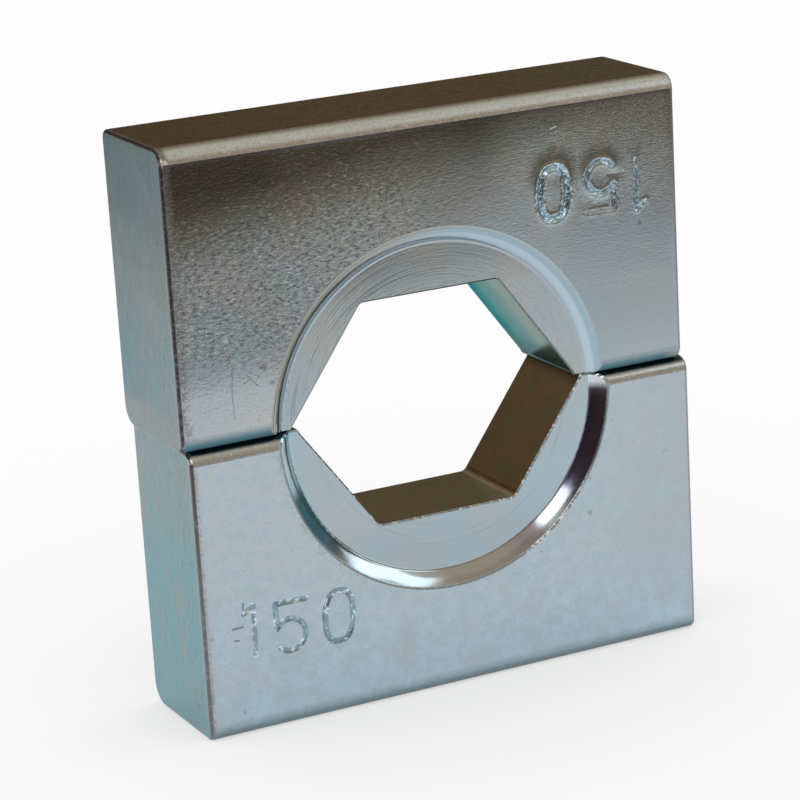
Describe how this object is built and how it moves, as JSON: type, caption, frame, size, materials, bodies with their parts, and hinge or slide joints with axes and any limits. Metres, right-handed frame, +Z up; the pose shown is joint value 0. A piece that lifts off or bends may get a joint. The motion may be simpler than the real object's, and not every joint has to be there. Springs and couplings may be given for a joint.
{
  "type": "crimping die",
  "caption": "Zinc-plated steel crimping die halves closed round a hexagonal bore, with a shallow turned recess round the bore on each face.",
  "frame": {"origin": "middle of the base of the closed halves' bounding box, under the bore's axis", "axes": "+X along the width to the right, +Y from the numbered front face to the back along the bore's axis, +Z up"},
  "size_m": [0.0406, 0.0102, 0.0424],
  "materials": {
    "zinc_plated_steel": "blue-passivated zinc plating over a ground surface, satin, with darker pitted edges"
  },
  "bodies": {
    "root": {"upper_die_half": "zinc_plated_steel", "lower_die_half": "zinc_plated_steel"}
  },
  "joints": []
}
